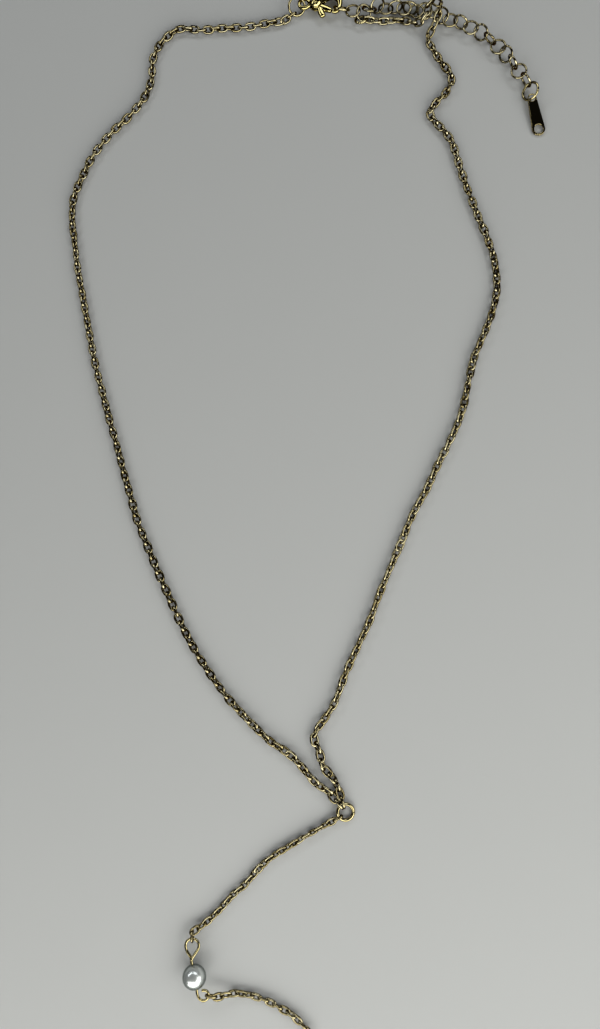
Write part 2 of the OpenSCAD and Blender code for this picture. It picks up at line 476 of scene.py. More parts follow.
def fine_scratches_group() -> bpy.types.NodeTree:
    """Builds the group of hairlines and tiny dents that handling leaves on metal or a bead.

    Returns:
        A group that puts out a height.
    """
    inputs = {"Size": "Float", "Stretch": "Vector", "Dents": "Float"}
    tree, given, target = new_group("fine_scratches", inputs, {"Height": "Float"})
    place = tree.place()
    drawn = tree.add("Mapping", {"Vector": place, "Scale": given["Stretch"]}).outputs["Vector"]
    lines = tree.noise(drawn, given["Size"], detail=3.0, roughness=0.7)
    dents = tree.math("MULTIPLY", tree.noise(place, given["Size"], detail=1.0), given["Dents"])
    tree.fill(target, {"Height": tree.math("ADD", lines, dents)})
    return tree.tree


def new_material(name: str) -> tuple[bpy.types.Material, Tree, bpy.types.Node]:
    """Starts a material.

    Args:
        name: the material's name.

    Returns:
        The material, its tree and its shader.
    """
    material = bpy.data.materials.new(name)
    material.use_nodes = True
    return material, Tree(material.node_tree), material.node_tree.nodes["Principled BSDF"]


@dataclass(frozen=True)
class Groups:
    """The shader node groups that the finishes share."""

    plating_tone: bpy.types.NodeTree
    fine_scratches: bpy.types.NodeTree


@dataclass(frozen=True)
class PlatedFinish:
    """Gold-coloured plating on brass, bright where rubbed, with painted shade at the sides and grime plus
    painted shade in recesses.
    """

    name: str
    bright: Colour
    dull: Colour
    # grime: near-black, for dirt plus painted shade in recesses
    grime_and_shade: Colour = (0.035, 0.022, 0.004)
    # flank: painted shade, the near-black that the colour turns to where the surface turns from the eye, in
    # place of dark reflections
    flank_shade: Colour = (0.035, 0.022, 0.003)
    flank_shade_share: float = 0.96
    flank_shade_start: float = 0.08
    flank_shade_full: float = 0.45
    patch_size: float = 900.0
    tarnish: float = 0.6
    smoothest: float = 0.07
    roughest: float = 0.24
    scratch_size: float = 9000.0
    scratch_depth: float = 0.08
    stretch: Colour = (1.0, 0.12, 1.0)
    dents: float = 0.8

    def material(self, groups: Groups) -> bpy.types.Material:
        """Makes the material.

        Args:
            groups: the shared node groups.

        Returns:
            The material.
        """
        material, tree, shader = new_material(self.name)
        colours = {"Bright": (*self.bright, 1), "Dull": (*self.dull, 1), "Grime And Shade": (*self.grime_and_shade, 1)}
        patches = {"Patch Size": self.patch_size, "Tarnish": self.tarnish}
        gloss = {"Smoothest": self.smoothest, "Roughest": self.roughest}
        tone = tree.add("Group", colours | patches | gloss, node_tree=groups.plating_tone).outputs
        # painted shade: the colour darkens to the flank colour where the surface turns away from the eye
        flank_shade = tree.aside(self.flank_shade_start, self.flank_shade_full, self.flank_shade_share)
        wear = {"Size": self.scratch_size, "Stretch": self.stretch, "Dents": self.dents}
        looks = {
            "Base Color": tree.mix(flank_shade, tone["Color"], (*self.flank_shade, 1)),
            "Roughness": tone["Roughness"],
            "Normal": tree.worn(groups.fine_scratches, self.scratch_depth, **wear),
            "Metallic": 1.0,
            "Specular Tint": EDGE_TINT,
        }
        tree.fill(shader, looks)
        return material


@dataclass(frozen=True)
class PearlFinish:
    """The silvery lacquer of an imitation pearl under a clear coat, its colour darkened towards the rim as
    painted shade.
    """

    name: str = "pearl_lacquer"
    face: Colour = (0.80, 0.84, 0.82)
    # rim: painted shade, the dark colour towards the bead's outline
    rim_shade: Colour = (0.11, 0.13, 0.12)
    rim_shade_start: float = 0.12
    rim_shade_full: float = 0.62
    cloud: Colour = (0.5, 0.5, 0.46)
    cloud_size: float = 420.0
    cloud_share: float = 0.15
    silver: float = 0.68
    roughness: float = 0.27
    coat: float = 0.15
    coat_roughness: float = 0.1
    scratch_size: float = 7000.0
    scratch_depth: float = 0.03

    def material(self, groups: Groups) -> bpy.types.Material:
        """Makes the material.

        Args:
            groups: the shared node groups.

        Returns:
            The material.
        """
        material, tree, shader = new_material(self.name)
        clouds = tree.noise(tree.place(), self.cloud_size, detail=2.0)
        # painted shade: the face colour darkens towards the rim where the surface turns away from the eye
        face_and_rim_shade = tree.mix(tree.aside(self.rim_shade_start, self.rim_shade_full), (*self.face, 1), (*self.rim_shade, 1))
        wear = {"Size": self.scratch_size, "Stretch": (1, 1, 1), "Dents": 1.0}
        looks = {
            "Base Color": tree.mix(tree.math("MULTIPLY", clouds, self.cloud_share), face_and_rim_shade, (*self.cloud, 1)),
            "Normal": tree.worn(groups.fine_scratches, self.scratch_depth, **wear),
            "Metallic": self.silver,
            "Roughness": self.roughness,
            "Coat Weight": self.coat,
            "Coat Roughness": self.coat_roughness,
        }
        tree.fill(shader, looks)
        return material


@dataclass(frozen=True)
class FloorFinish:
    """The plain pale surface that the necklace lies on."""

    name: str = "pale_floor"
    colour: Colour = (0.472, 0.478, 0.470)
    darkest: float = 0.985
    grain_size: float = 60.0
    roughness: float = 0.9
    gloss: float = 0.2

    def material(self) -> bpy.types.Material:
        """Makes the material.

        Returns:
            The material, matt with a faint grain.
        """
        material, tree, shader = new_material(self.name)
        grain = tree.noise(tree.place(), self.grain_size, detail=6.0)
        low = [c * self.darkest for c in self.colour]
        looks = {
            "Base Color": tree.mix(grain, (*low, 1), (*self.colour, 1)),
            "Roughness": self.roughness,
            "Specular IOR Level": self.gloss,
        }
        tree.fill(shader, looks)
        return material


# Pieces


def add_piece(
    name: str,
    mesh: bpy.types.Mesh,
    material: bpy.types.Material,
    body: Body,
    nodes: Sequence[str],
) -> bpy.types.Object:
    """Puts a finished mesh in the scene.

    Args:
        name: the piece's name.
        mesh: its mesh, in metres and in place.
        material: its finish.
        body: the CAD body that it rides on.
        nodes: the CAD nodes that it stands for.

    Returns:
        The new object.
    """
    piece = bpy.data.objects.new(name, mesh)
    bpy.context.scene.collection.objects.link(piece)
    mesh.materials.append(material)
    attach(piece, body.value)
    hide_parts(*nodes)
    LOG.info("%s: %d faces, for %s", name, len(mesh.polygons), ", ".join(nodes))
    return piece


@dataclass
class Piece:
    """A piece of the necklace that stands for one CAD node."""

    slot: ClassVar[Slot] = Slot.RING
    name: str
    node: str

    def build(self) -> Shape:
        """Makes the piece's shape, in the frame."""
        raise NotImplementedError

    def dress(self, shape: Shape, material: bpy.types.Material) -> bpy.types.Object:
        """Puts the piece in the scene."""
        return add_piece(self.name, shape.mesh(self.name), material, Body.NECKLACE, [self.node])


@dataclass(frozen=True)
class Hold:
    """The place where a link hangs on a wire."""

    point: np.ndarray
    along: np.ndarray
    radius: float


@dataclass
class WirePiece(Piece):
    """A piece that is bent from one round wire."""

    place: np.ndarray
    wire: float

    @property
    def path(self) -> np.ndarray:
        """The wire's middle, in the frame."""
        raise NotImplementedError

    def hold_near(self, target: Sequence[float]) -> Hold:
        """Finds the place on the wire that is nearest to a target.

        Args:
            target: the place to look from.

        Returns:
            The hold.
        """
        path = self.path
        i = int(np.argmin(np.linalg.norm(path - np.asarray(target, float), axis=1)))
        i = min(max(i, 1), len(path) - 2)
        return Hold(path[i], unit(path[i + 1] - path[i - 1]), self.wire / 2)


@dataclass
class WireRing(WirePiece):
    """A jump ring: round wire bent in a circle, its two ends meeting at a fine seam."""

    outer: float
    seam: float = 90.0
    seam_gap: float = 0.03
    cut_end: float = 0.06
    grime_and_shade_share: float = 0.8
    grime_and_shade_spread: float = 2.0
    grime_and_shade_middle: float = 0.35

    def arc(self, angles: np.ndarray) -> np.ndarray:
        """Returns the wire's middle at angles round the ring."""
        flat = np.stack([np.cos(angles), np.sin(angles), 0 * angles], 1)
        return carried(flat * (self.outer - self.wire) / 2, self.place)

    @property
    def path(self) -> np.ndarray:
        """The wire's middle from one side of the seam to the other."""
        gap = math.degrees((self.seam_gap / 2 + self.wire * self.cut_end) / ((self.outer - self.wire) / 2))
        return self.arc(np.radians(np.linspace(self.seam + gap, self.seam + 360 - gap, 73)))

    @property
    def circle(self) -> np.ndarray:
        """The wire's middle all round, as if it had no seam."""
        return self.arc(around(48))

    def build(self) -> Shape:
        """Makes the ring.

        Returns:
            The ring's shape, with grime and painted shade on its inner side, where the links hang in it.
        """
        path, middle = self.path, self.place[:3, 3]
        shape = sweep(path, 20, self.wire / 2, up=self.place[:3, 2])
        # grime and painted shade on the ring's inner side
        far = np.linalg.norm(shape.verts - middle, axis=1)
        inward = (np.linalg.norm(path - middle, axis=1).mean() - far) / (far.max() - far.min())
        shape.grime_and_shade = self.grime_and_shade_share * np.clip(inward * self.grime_and_shade_spread + self.grime_and_shade_middle, 0, 1)
        return shape


@dataclass
class CableChain(Piece):
    """A run of fine cable chain: oval wire links, each a quarter turn from the last.

    The rolls are pairs of a share of the run and the degrees by which its even links are
    rolled from face-on, as they are seen from the viewpoint.
    """

    slot: ClassVar[Slot] = Slot.CHAIN
    route: Sequence[Station]
    start: Hold
    end: Hold | None
    rolls: Sequence[tuple[float, float]]
    width: float = 2.05
    wire: float = 0.57
    pitch: float = 1.8
    play: float = 0.12
    squareness: float = 2.5
    lying: float = 0.924
    slack: float = 0.02
    wobble: float = 10.0
    sway: float = 0.035
    sway_shares: Sequence[float] = (1, 1, 0.6)
    settle: float = 7.0
    hold_shares: Sequence[float] = (1, 0.55, 0.2)
    grime_and_shade_spread: float = 0.75
    grime_and_shade_middle: float = 0.15
    grime_and_shade_along: float = 0.35
    most_tone: float = 0.8
    seed: int = 1
    corners: int = 36
    sides: int = 12

    @property
    def link_length(self) -> float:
        """The outside length of a link."""
        return self.pitch + 2 * self.wire + self.play

    def link(self) -> tuple[Shape, np.ndarray]:
        """Makes one link, flat about its own middle, its length along X.

        Returns:
            The link and its grime and painted shade, most on the inside of its two ends, where the next links
            lie in it.
        """
        a, b = (self.link_length - self.wire) / 2, (self.width - self.wire) / 2
        c, s = np.cos(around(self.corners)), np.sin(around(self.corners))
        power = 2 / self.squareness
        path = np.stack([a * np.sign(c) * np.abs(c) ** power, b * np.sign(s) * np.abs(s) ** power, 0 * c], 1)
        loop = np.concatenate([path, path[:1]])
        run = distances(loop)
        path = rows_at(loop, run, np.linspace(0, run[-1], self.corners, endpoint=False))
        shape = sweep(path, self.sides, self.wire / 2, closed=True)
        # grime and painted shade inside the link, most at its ends where the next links lie
        middle = np.repeat(path, self.sides, 0)
        inward = -np.sum((shape.verts - middle) * unit(middle), axis=1) / (self.wire / 2)
        ends = np.clip(np.abs(middle[:, 0]) / a, 0, 1) ** 2
        grime_and_shade = np.clip(inward * self.grime_and_shade_spread + self.grime_and_shade_middle, 0, 1)
        return shape, grime_and_shade * (self.grime_and_shade_along + (1 - self.grime_and_shade_along) * ends)

    def held(self, hold: Hold, towards: Station) -> Station:
        """Finds the middle of a link that hangs on a hold.

        Args:
            hold: where it hangs.
            towards: the place that it points to.

        Returns:
            The place of its middle.
        """
        away = np.array([*towards[:2], hold.point[2]]) - hold.point
        reach = self.link_length / 2 - self.wire - hold.radius - self.slack
        x, y, z = hold.point + unit(away) * reach
        return x, y, max(self.lying, z)

    def build(self) -> Shape:
        """Lays the links along the route.

        Returns:
            All the links as one shape.
        """
        route = [(*p, self.lying)[:3] for p in self.route]
        route.insert(0, self.held(self.start, route[0]))
        if self.end:
            route.append(self.held(self.end, route[-1]))
        curve = smooth(route, 0.05)
        total = distances(curve)[-1]
        run = np.linspace(0, total, len(curve))
        count = round(total / self.pitch) + 1
        at, step = np.linspace(0, total, count, retstep=True)

        def on_curve(distance: np.ndarray) -> np.ndarray:
            """Finds places along the curve, past its ends too.

            Args:
                distance: how far along each of them is.

            Returns:
                The places.
            """
            before = np.minimum(distance, 0)[:, None] * unit(curve[1] - curve[0])
            after = np.maximum(distance - total, 0)[:, None] * unit(curve[-1] - curve[-2])
            return rows_at(curve, run, distance) + before + after

        rng = np.random.default_rng(self.seed)
        middle = on_curve(at)
        axis = unit(on_curve(at + step / 2) - on_curve(at - step / 2))
        roll = np.interp(at / total, *zip(*self.rolls)) + 90.0 * (np.arange(count) % 2)
        roll += rng.normal(0, self.wobble, count)
        axis = unit(axis + rng.normal(0, self.sway, (count, 3)) * self.sway_shares)
        side = unit(np.cross([0, 0, 1.0], axis))
        top = np.cross(axis, side)
        sight = np.asarray(VIEWPOINT) - middle
        roll -= np.degrees(np.arctan2(np.sum(sight * side, axis=1), np.sum(sight * top, axis=1)))
        holds = [(i, hold) for i, hold in ((0, self.start), (count - 1, self.end)) if hold]
        for i, hold in holds:
            wanted = math.degrees(math.atan2(-hold.along @ side[i], hold.along @ top[i]))
            change = (wanted - roll[i] + 90) % 180 - 90
            roll += change * np.clip(1 - np.abs(np.arange(count) - i) / self.settle, 0, 1)
        roll = np.radians(roll)
        c, s = np.cos(roll)[:, None], np.sin(roll)[:, None]
        half = (self.width - self.wire) / 2
        height = middle[:, 2] - self.lying + self.wire / 2 + half * np.maximum(np.abs(c), np.abs(s))[:, 0]
        for i, hold in holds:
            level = max(hold.point[2], self.wire / 2 + half * abs(math.sin(roll[i])))
            for k, share in enumerate(self.hold_shares):
                height[abs(i - k)] += (level - height[abs(i - k)]) * share
        middle[:, 2] = height
        across = side * c + top * s
        link, grime_and_shade = self.link()
        axes = np.stack([axis, across, np.cross(axis, across)], 1)
        verts = np.einsum("vk,nkj->nvj", link.verts, axes) + middle[:, None]
        verts[..., 2] += np.maximum(0, FLOOR_GAP - verts[..., 2].min(axis=1))[:, None]
        per = len(link.verts)
        quads = (link.quads + (np.arange(count) * per)[:, None, None]).reshape(-1, 4)
        tone = np.repeat(rng.uniform(0, self.most_tone, count), per)
        LOG.info("%s: %d links, %.1f mm, step %.3f mm", self.name, count, total, step)
        return Shape(verts.reshape(-1, 3), quads, grime_and_shade=np.tile(grime_and_shade, count), tone=tone)


def passes(ring: np.ndarray, other: np.ndarray) -> int:
    """Counts how often a closed wire goes through a ring.

    Args:
        ring: places evenly round a circle.
        other: places round the closed wire.

    Returns:
        How often the wire crosses the disc inside the circle.
    """
    middle = ring.mean(0)
    arm = ring[0] - middle
    side = (other - middle) @ np.cross(arm, ring[len(ring) // 4] - middle)
    after = np.roll(side, -1)
    i = np.nonzero(side * after < 0)[0]
    step = np.roll(other, -1, 0)[i] - other[i]
    at = other[i] + step * (side[i] / (side[i] - after[i]))[:, None] - middle
    return int(np.sum(np.sum(at**2, axis=1) < arm @ arm))


@dataclass
class ExtenderChain(Piece):
    """The extender: round rings linked one in the next, in turn nearly flat and nearly upright.

    A row of places is a ring's middle, the heading of its level diameter and its lean about
    that. The rows are rounded from the result of a program that settled the rings before.
    Small steps then move the rings until each hangs free in the next.
    """

    slot: ClassVar[Slot] = Slot.CHAIN
    first: WireRing
    last: WireRing
    joining: WireRing
    joined_at: int = 2
    outer: float = 3.92
    wire: float = 0.52
    places: Sequence[Station] = (
        (13, 114.5, 1.6, -5, -10), (15.5, 114.5, 1.2, 25, 30), (17, 115, 1.4, -15, -35),
        (19, 115.5, 1.8, 35, 65), (21, 115, 1.2, -10, -10), (23.5, 114.5, 2, 15, 80),
        (25.5, 114.5, 1.4, -5, 0), (27, 114, 2, -15, 80), (28.5, 114, 0.8, -5, 0),
        (30.5, 113.5, 1.2, -20, 40), (32.5, 112.5, 1.2, -25, -30), (34.5, 112, 1.4, -25, 40),
        (36.5, 110.5, 1.4, -25, 0), (39, 109.5, 2, -25, 80), (41.5, 108, 1.6, -30, 0),
        (44, 106.5, 1.8, -40, 60), (46, 104.5, 2, -40, 100), (48, 102.5, 1.6, -50, 5),
        (49.5, 100.5, 1.8, -55, 55), (51, 98, 2, -60, 95), (52.5, 95.5, 2, -65, 10),
        (54, 93, 2, -55, 90),
    )
    tries: int = 5000
    coarse_tries: float = 0.4
    coarse: float = 0.5
    fine: float = 0.15
    stride: Sequence[float] = (0.2, 0.2, 0.2, 6, 6)
    clearance: float = 0.05
    give: Sequence[float] = (0.25, 0.25, 0.25, 10, 7)
    cut_cost: float = 80.0
    link_cost: float = 5.0
    drift_cost: float = 0.05
    settle_seed: int = 5
    seams: tuple[float, float] = (40, 140)
    most_tone: float = 0.5
    seed: int = 11

    def ring(self, row: Sequence[float], seam: float = 90.0) -> WireRing:
        """Makes the ring that a row of places stands for.

        Args:
            row: its middle, heading and lean.
            seam: where its seam is.

        Returns:
            The ring.
        """
        x, y, z, heading, lean = row
        place = move(x, y, z) @ turn(z=heading) @ turn(x=lean)
        return WireRing("", "", place, self.wire, self.outer, seam)

    def settled(self) -> np.ndarray:
        """Moves the rings by small steps until they are linked as they should be, and clear.

        Returns:
            The rows of places, moved.
        """
        rng = np.random.default_rng(self.settle_seed)
        start = np.array(self.places, float)
        rows = start.copy()
        rings = [self.first, *map(self.ring, rows), self.last, self.joining]
        wires, loops = [ring.wire for ring in rings], [ring.circle for ring in rings]
        joining = len(rings) - 1

        def strains(i: int, loop: np.ndarray) -> dict[tuple[int, int], float]:
            """Tells how badly a ring fits with each ring that is near it.

            Args:
                i: which ring it is.
                loop: the circle of its wire.

            Returns:
                A cost for each pair of rings.
            """
            near = [k for k in (i - 2, i - 1, i + 1, i + 2) if 0 <= k < joining]
            found = {}
            for k in near + [joining] * (i < joining // 4):
                a, b = (loop, loops[k]) if k > i else (loops[k], loop)
                linked = i == self.joined_at if k == joining else abs(k - i) == 1
                gap = math.sqrt(np.min(np.sum((a[:, None] - b) ** 2, axis=-1))) - (wires[i] + wires[k]) / 2
                wrong = self.link_cost * (passes(a, b) != linked)
                found[min(i, k), max(i, k)] = wrong + self.cut_cost * max(0.0, self.clearance - gap) ** 2
            return found

        def drift(i: int, row: np.ndarray, loop: np.ndarray) -> float:
            """Tells how far a ring has gone from its place, or into the floor.

            Args:
                i: which ring it is.
                row: where it is now.
                loop: the circle of its wire.

            Returns:
                The cost of that.
            """
            sunk = max(0.0, FLOOR_GAP + self.wire / 2 - loop[:, 2].min())
            gone = np.sum(((row - start[i - 1]) / self.give) ** 2)
            return self.cut_cost * sunk**2 + self.drift_cost * float(gone)

        strain = {k: v for i in range(1, joining - 1) for k, v in strains(i, loops[i]).items()}
        drifts = [0.0, *(drift(i, rows[i - 1], loops[i]) for i in range(1, joining - 1))]
        for attempt in range(self.tries):
            i = int(rng.integers(1, joining - 1))
            share = self.coarse if attempt < self.tries * self.coarse_tries else self.fine
            row = rows[i - 1] + rng.normal(0, 1, 5) * self.stride * share
            loop = self.ring(row).circle
            fit, gone = strains(i, loop), drift(i, row, loop)
            if gone + sum(fit.values()) < drifts[i] + sum(strain[k] for k in fit):
                rows[i - 1], loops[i], drifts[i] = row, loop, gone
                strain.update(fit)
        LOG.info("%s: strain %.3f after %d steps", self.name, sum(strain.values()), self.tries)
        return rows

    def build(self) -> Shape:
        """Makes the rings.

        Returns:
            All the rings as one shape.
        """
        rng = np.random.default_rng(self.seed)
        rings = []
        for row in self.settled():
            shape = self.ring(row, seam=rng.uniform(*self.seams)).build()
            shape.verts[:, 2] += max(0.0, FLOOR_GAP - shape.verts[:, 2].min())
            shape.tone = np.full(len(shape.verts), rng.uniform(0, self.most_tone))
            rings.append(shape)
        return joined(rings)


@dataclass
class EndTag(Piece):
    """The flat drop-shaped tag on the end ring, stamped from sheet, with soft edges.

    A row of edge is how far the outline is drawn in, and how far below the face.
    """

    slot: ClassVar[Slot] = Slot.TAG
    place: np.ndarray
    pitch: float = 7.54
    top_radius: float = 1.05
    end_radius: float = 1.53
    eye_radius: float = 0.75
    hole_radius: float = 1.05
    thickness: float = 0.45
    edge: Sequence[tuple[float, float]] = ((0.11, 0.0), (0.06, 0.012), (0.022, 0.045), (0.0, 0.1))

    def outline(self, inset: float) -> np.ndarray:
        """Draws the tag's outline.

        Args:
            inset: how far it is drawn in.

        Returns:
            The places along it.
        """
        lean = math.asin((self.end_radius - self.top_radius) / self.pitch)
        left = np.linspace(math.pi / 2 + lean, 1.5 * math.pi - lean, 25)
        right = np.linspace(-math.pi / 2 - lean, math.pi / 2 + lean, 41)
        r1, r2 = self.top_radius - inset, self.end_radius - inset
        x = np.concatenate([r1 * np.cos(left), self.pitch + r2 * np.cos(right)])
        return np.stack([x, np.concatenate([r1 * np.sin(left), r2 * np.sin(right)])], 1)

    def hole(self, x: float, radius: float, count: int) -> np.ndarray:
        """Returns a hole's edge."""
        return np.stack([x + radius * np.cos(around(count)), -radius * np.sin(around(count))], 1)

    def build(self) -> Shape:
        """Makes the tag.

        Returns:
            The tag's shape, in the frame.
        """
        half = self.thickness / 2
        profile = [(d, half - z) for d, z in self.edge] + [(d, z - half) for d, z in self.edge[::-1]]
        verts, quads, tops, bottoms = [], [], [], []
        for contour in (
            self.outline,
            lambda inset: self.hole(0.0, self.eye_radius + inset, 40),
            lambda inset: self.hole(self.pitch, self.hole_radius + inset, 56),
        ):
            first = sum(map(len, verts))
            verts += [np.column_stack([contour(d), np.full(len(contour(d)), z)]) for d, z in profile]
            n = len(verts[-1])
            quads.append(first + grid_faces(len(profile), n, False)[:, ::-1])
            tops.append(first + np.arange(n))
            bottoms.append(tops[-1] + (len(profile) - 1) * n)
        points = np.concatenate(verts)
        face = np.array(tessellate_polygon([[Vector(points[i]) for i in ring] for ring in tops]))
        top, bottom = np.concatenate(tops)[face], np.concatenate(bottoms)[face]
        a, b, c = (points[top[:, k], :2] for k in range(3))
        upward = np.linalg.det(np.stack([b - a, c - a], 1))[:, None] > 0
        tris = [np.where(upward, top, top[:, ::-1]), np.where(upward, bottom[:, ::-1], bottom)]
        return Shape(points, np.concatenate(quads), np.concatenate(tris)).placed(self.place)

    def dress(self, shape: Shape, material: bpy.types.Material) -> bpy.types.Object:
        """Puts the tag in the scene, its two faces kept flat.

        Args:
            shape: the tag's shape.
            material: its finish.

        Returns:
            The new object.
        """
        piece = super().dress(shape, material)
        piece.data.polygons.foreach_set("use_smooth", [len(p.vertices) == 4 for p in piece.data.polygons])
        return piece


@dataclass
class PearlBead(Piece):
    """The bead, turned from round, with a drilled hole whose lip is slightly worn in."""

    slot: ClassVar[Slot] = Slot.PEARL
    place: np.ndarray
    radius: float = 2.5
    hole: float = 0.4
    lip: float = 0.16
    corners: int = 96

    def build(self) -> Shape:
        """Turns the bead's profile about the drilled hole.

        Returns:
            The bead's shape, in the frame.
        """
        edge = self.hole + self.lip
        first = math.asin(edge / self.radius)
        arc = np.linspace(first, math.pi - first, 64)
        outside = self.radius * np.stack([np.cos(arc), np.sin(arc)], 1)
        soft = np.radians([25, 50, 75, 90])
        lip = np.stack([outside[0, 0] - self.lip * (1 - np.cos(soft)), edge - self.lip * np.sin(soft)], 1)
        wall = np.stack([np.linspace(-lip[-1, 0], lip[-1, 0], 12)[1:-1], np.full(10, self.hole)], 1)
        profile = np.concatenate([outside, lip * [-1, 1], wall, lip[::-1]])
        x, reach = profile[:, :1], profile[:, 1:]
        a = around(self.corners)
        verts = np.stack([x + 0 * a, reach * np.cos(a), reach * np.sin(a)], -1).reshape(-1, 3)
        return Shape(verts, grid_faces(len(profile), self.corners, True)[:, ::-1]).placed(self.place)


@dataclass
class PearlPin(WirePiece):
    """The wire through the bead, bent by hand into a large loop and a small one."""

    route: Sequence[tuple[float, float, float]] = (
        (-3.3, 0.12, 0.64), (-3.8, 0.55, 0.55), (-4.5, 1.35, 0.35), (-5.2, 2.0, 0.1), (-6, 2.2, 0),
        (-6.8, 1.85, 0), (-7.25, 1.0, 0), (-7.1, 0, 0), (-6.5, -0.55, 0), (-5.6, -0.65, 0),
        (-4.7, -0.4, 0), (-3.9, -0.02, 0), (-3.2, 0.04, 0), (-2.6, 0, 0), (0, 0, 0), (2.6, 0, 0),
        (3.4, 0, 0), (4.25, 0.28, 0), (4.75, 1.0, 0), (4.6, 1.8, 0), (3.95, 2.3, 0.02),
        (3.2, 2.15, 0.05), (2.85, 1.6, 0.08), (2.8, 1.1, 0.1),
    )

    @property
    def path(self) -> np.ndarray:
        """The wire's middle, in the frame."""
        return carried(smooth(self.route, 0.12), self.place)

    def build(self) -> Shape:
        """Bends the wire along its path."""
        return sweep(self.path, 20, self.wire / 2, up=self.place[:3, 2])


@dataclass
class LobsterClasp:
    """The cast lobster clasp: eyelet and hook in one, a sprung lever, and the pin it turns on.

    A station of the hook, the arm and the tab is a place and half the width and height there.
    """

    place: np.ndarray
    eyelet_outer: float = 3.5
    eyelet_wire: float = 0.94
    pivot: tuple[float, float] = (2.9, 0.1)
    pivot_radius: float = 0.33
    pivot_play: float = 0.03
    pivot_sunk: float = 0.21
    thickness: float = 3.0
    root_radius: float = 0.95
    root_thickness: float = 1.06
    root_play: float = 0.07
    slot_width: float = 1.3
    voxel: float = 0.07
    polish_rounds: int = 7
    hook: Sequence[Station] = (
        (1.35, 0, 0.6, 0.6), (2, 0.15, 1.05, 1.2), (2.9, 0.5, 1.4, 1.5), (3.5, 1.5, 1.25, 1.5),
        (4.3, 2.8, 1.05, 1.35), (5.5, 3.7, 0.97, 1.15), (7, 3.8, 0.9, 1), (8.2, 2.9, 0.74, 0.72),
        (8.7, 1.6, 0.6, 0.55), (8.7, 0.5, 0.56, 0.5), (8.35, -0.2, 0.54, 0.46), (7.4, -0.45, 0.46, 0.42),
    )
    arm: Sequence[Station] = (
        (2.9, 0.1, 0.85, 0.5), (4.2, 0.1, 0.82, 0.56), (5.6, -0.1, 0.78, 0.58), (6.7, -0.3, 0.66, 0.54),
        (7.15, -0.38, 0.52, 0.47),
    )
    tab: Sequence[Station] = ((4.05, -0.3, 0.7, 0.52), (4.85, -1.35, 0.8, 0.54), (5.45, -2.1, 0.72, 0.52))

    def cast(self, stations: Sequence[Station], square: float, ends: End = End.CUT) -> Shape:
        """Sweeps an arm of the casting through its stations."""
        rows = smooth([(x, y, 0, w, h) for x, y, w, h in stations], 0.15)
        return sweep(rows[:, :3], 32, rows[:, 3], rows[:, 4], square=square, ends=ends)

    def disc(self, radius: float, height: float, sides: int = 48, steps: int = 6) -> Shape:
        """Makes a disc about the pivot, its edge softened."""
        path = np.array([(*self.pivot, z) for z in np.linspace(-height / 2, height / 2, steps)])
        return sweep(path, sides, radius, up=(1, 0, 0))

    def slot(self) -> Shape:
        """Makes the space that the lever turns in.

        Returns:
            Its shape, in the clasp's own frame.
        """
        outline = [(-1.15, -0.6), (-0.6, -3), (3.6, -3), (3.6, 2.6), (0, 1.45), (-0.6, 1.15), (-1.15, 0.6)]
        n, half = len(outline), self.slot_width / 2
        flat = np.array(outline) + self.pivot
        verts = np.concatenate([np.column_stack([flat, np.full(n, z)]) for z in (-half, half)])
        fan = np.array([(0, i, i + 1) for i in range(1, n - 1)])
        return Shape(verts, grid_faces(2, n, False), np.concatenate([fan[:, ::-1], fan + n]))

    def fused(self, name: str, solids: Sequence[Shape], cuts: Sequence[Shape]) -> bpy.types.Mesh:
        """Joins solids into one casting, cuts it, and softens its edges as polishing does.

        Args:
            name: the mesh's name.
            solids: shapes to join, in the clasp's own frame.
            cuts: shapes to take away.

        Returns:
            The mesh, in metres and in place.
        """

        def item(shape: Shape, label: str) -> bpy.types.Object:
            """Makes an object a thousand times its size, so that fine voxels are allowed.

            Args:
                shape: its shape.
                label: its name.

            Returns:
                The object.
            """
            mesh = shape.mesh(label)
            mesh.transform(Matrix.Scale(1 / MM, 4))
            made = bpy.data.objects.new(label, mesh)
            bpy.context.scene.collection.objects.link(made)
            return made

        first, *rest = [item(s, f"{name}_solid") for s in solids]
        tools = [(o, "UNION") for o in rest] + [(item(c, f"{name}_cut"), "DIFFERENCE") for c in cuts]
        for tool, operation in tools:
            change = first.modifiers.new("join", "BOOLEAN")
            change.solver, change.operation, change.object = "EXACT", operation, tool
        cells = first.modifiers.new("cells", "REMESH")
        cells.mode, cells.voxel_size, cells.use_smooth_shade = "VOXEL", self.voxel, True
        polish = first.modifiers.new("polish", "SMOOTH")
        polish.factor, polish.iterations = 0.5, self.polish_rounds
        bpy.context.view_layer.update()
        graph = bpy.context.evaluated_depsgraph_get()
        mesh = bpy.data.meshes.new_from_object(first.evaluated_get(graph), depsgraph=graph)
        mesh.name = name
        for used in (first, *(tool for tool, _ in tools)):
            bpy.data.objects.remove(used)
        mesh.transform(Matrix.Scale(MM, 4))
        place = Matrix(self.place.tolist())
        place.translation *= MM
        mesh.transform(place)
        mesh.polygons.foreach_set("use_smooth", np.ones(len(mesh.polygons), bool))
        for label in ("grime_and_shade", "tone"):
            if mesh.attributes.get(label) is None:
                mesh.attributes.new(label, "FLOAT", "POINT")
        return mesh

    def build_body(self) -> bpy.types.Mesh:
        """Casts the eyelet and the hook, with the lever's slot and the pin's hole.

        Returns:
            The mesh, in metres and in place.
        """
        ring = WireRing("", "", np.eye(4), self.eyelet_wire, self.eyelet_outer)
        eyelet = sweep(ring.arc(around(72)), 24, self.eyelet_wire / 2, closed=True)
        hole = self.disc(self.pivot_radius + self.pivot_play, 2 * self.thickness)
        return self.fused("clasp_hook", [eyelet, self.cast(self.hook, square=2.3)], [self.slot(), hole])

